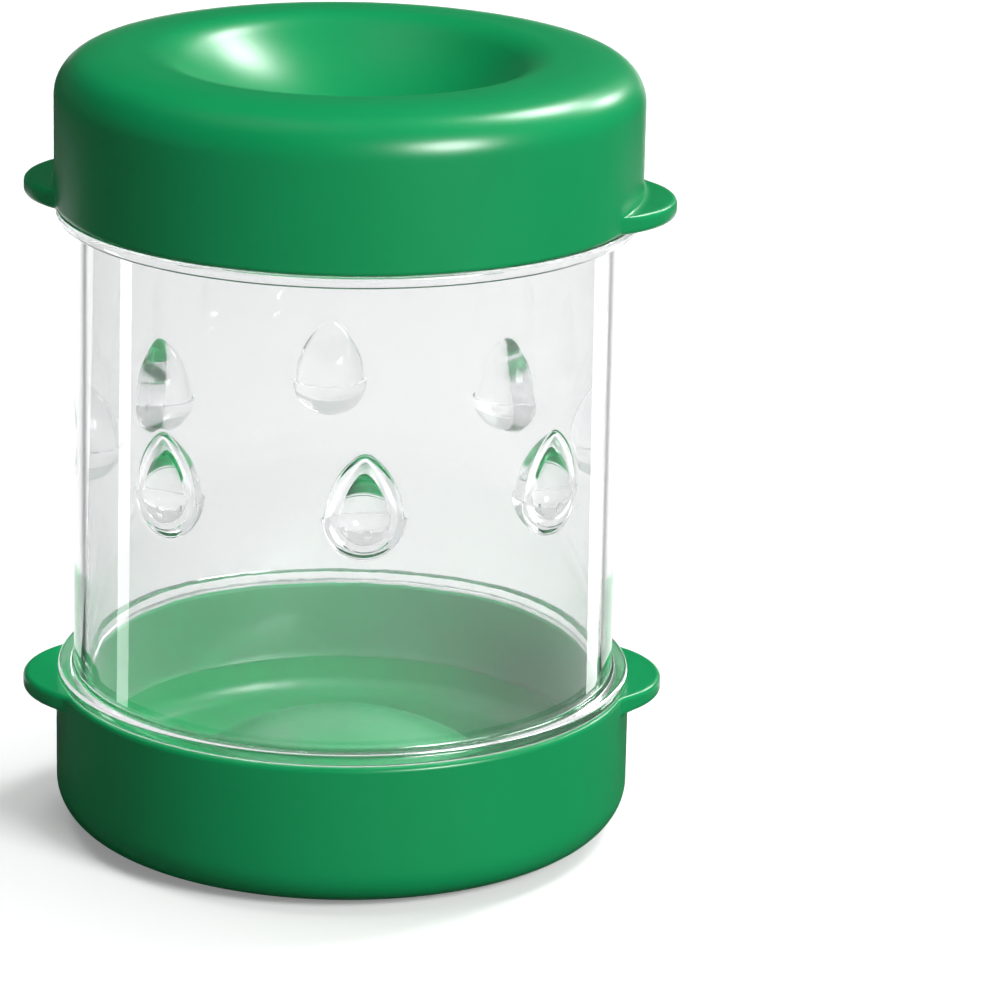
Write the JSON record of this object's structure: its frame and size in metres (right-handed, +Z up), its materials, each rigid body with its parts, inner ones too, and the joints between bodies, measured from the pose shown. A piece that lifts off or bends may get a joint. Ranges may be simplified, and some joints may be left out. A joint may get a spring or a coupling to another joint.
{
  "type": "egg peeler",
  "caption": "Clear tube with a ring of egg-shaped knobs inside and a dished pull-off cap at each end, shaken with a boiled egg in it to crack the shell.",
  "frame": {"origin": "centre of the flat ring that the lower cap stands on", "axes": "+Z up along the tube's axis, +X through one of the upper cap's pull tabs"},
  "size_m": [0.0832, 0.0746, 0.1018],
  "materials": {
    "clear_plastic": "clear gloss",
    "cap_plastic": "semi-gloss"
  },
  "bodies": {
    "lower_cap": {"lower_cap": "cap_plastic"},
    "clear_body": {"clear_body": "clear_plastic"},
    "upper_cap": {"upper_cap": "cap_plastic"}
  },
  "joints": [
    {"name": "lower_cap_pull", "type": "slide", "parent": "lower_cap", "child": "clear_body", "axis": [0, 0, 1], "range_m": [0, 0.075]},
    {"name": "upper_cap_pull", "type": "slide", "parent": "clear_body", "child": "upper_cap", "axis": [0, 0, 1], "range_m": [0, 0.075]}
  ]
}
